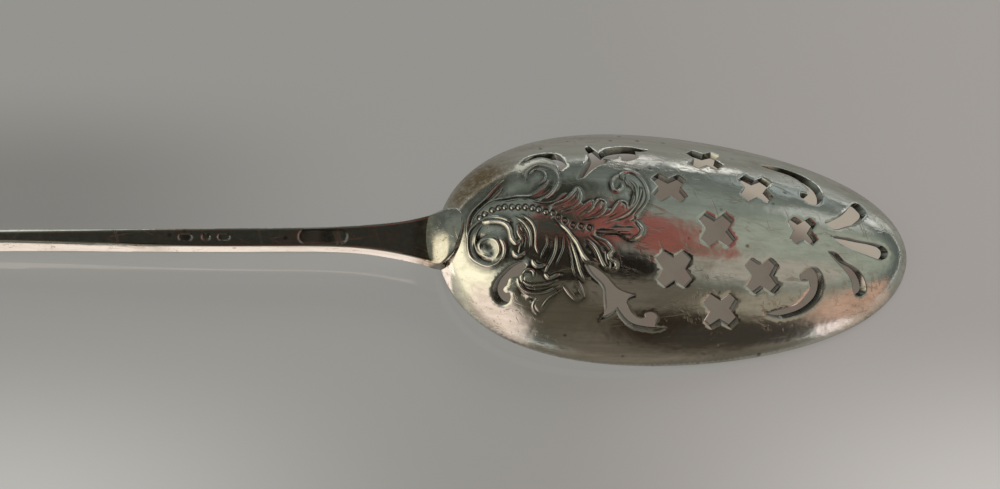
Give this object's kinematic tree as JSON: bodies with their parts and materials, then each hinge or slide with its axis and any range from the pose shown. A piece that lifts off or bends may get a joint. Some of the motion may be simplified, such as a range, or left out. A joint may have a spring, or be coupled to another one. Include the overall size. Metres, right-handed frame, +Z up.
{
  "type": "mote spoon",
  "caption": "Slim silver tea spoon with a pierced oval bowl, scroll relief on its back and a long stem that ends in a spear point",
  "frame": {"origin": "middle of the bounding box in plan, at the height of the surface that the spoon lies on, face down", "axes": "X along the stem to the tip of the bowl, Y across the bowl, Z up out of the back of the bowl"},
  "size_m": [0.139, 0.0196, 0.0077],
  "materials": {
    "silver": "worn polished silver with light tarnish"
  },
  "bodies": {
    "root": {"mote_spoon": "silver"}
  },
  "joints": []
}
